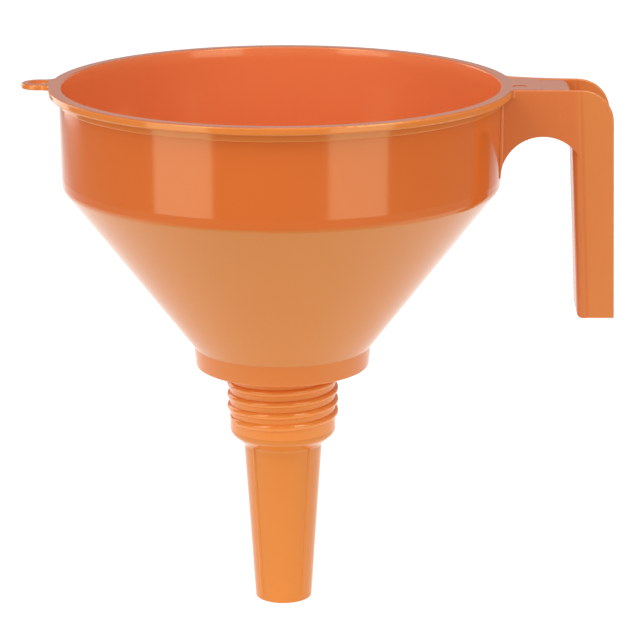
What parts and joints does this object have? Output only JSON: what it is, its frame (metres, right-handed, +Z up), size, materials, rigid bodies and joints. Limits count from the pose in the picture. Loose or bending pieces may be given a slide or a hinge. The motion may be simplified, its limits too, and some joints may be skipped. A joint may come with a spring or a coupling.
{
  "type": "filling funnel",
  "caption": "Large round filling funnel: drum-and-cone bowl, flat rim, collar with a lift-out strainer, threaded neck, ribbed tapered spout, side handle and hanging eye.",
  "frame": {"origin": "centre of the seat plane, the flat underside of the collar, where it rests on a container's mouth with the neck and spout inside", "axes": "+Z up along the funnel's axis from the spout to the rim, +X towards the handle, -X towards the hanging eye"},
  "size_m": [0.3211, 0.25, 0.2925],
  "materials": {
    "moulding": "glossy orange injection-moulded polyolefin, slightly translucent",
    "strainer_frame": "natural satin plastic",
    "strainer_wire": "woven stainless wire"
  },
  "bodies": {
    "funnel": {"rim_flange": "moulding", "bowl_drum": "moulding", "bowl_cone": "moulding", "strainer_seat": "moulding", "threaded_neck": "moulding", "tapered_spout": "moulding", "spout_ribs": "moulding", "handle_top_plate": "moulding", "handle_front_flange": "moulding", "handle_rear_flange": "moulding", "handle_grip_web": "moulding", "hanging_eye": "moulding"},
    "strainer": {"strainer_ring": "strainer_frame", "strainer_spokes": "strainer_frame", "strainer_lift_tab": "strainer_frame", "strainer_gauze": "strainer_wire"}
  },
  "joints": [
    {"name": "strainer_lift", "type": "slide", "parent": "funnel", "child": "strainer", "axis": [0, 0, 1], "range_m": [0, 0.18]}
  ]
}
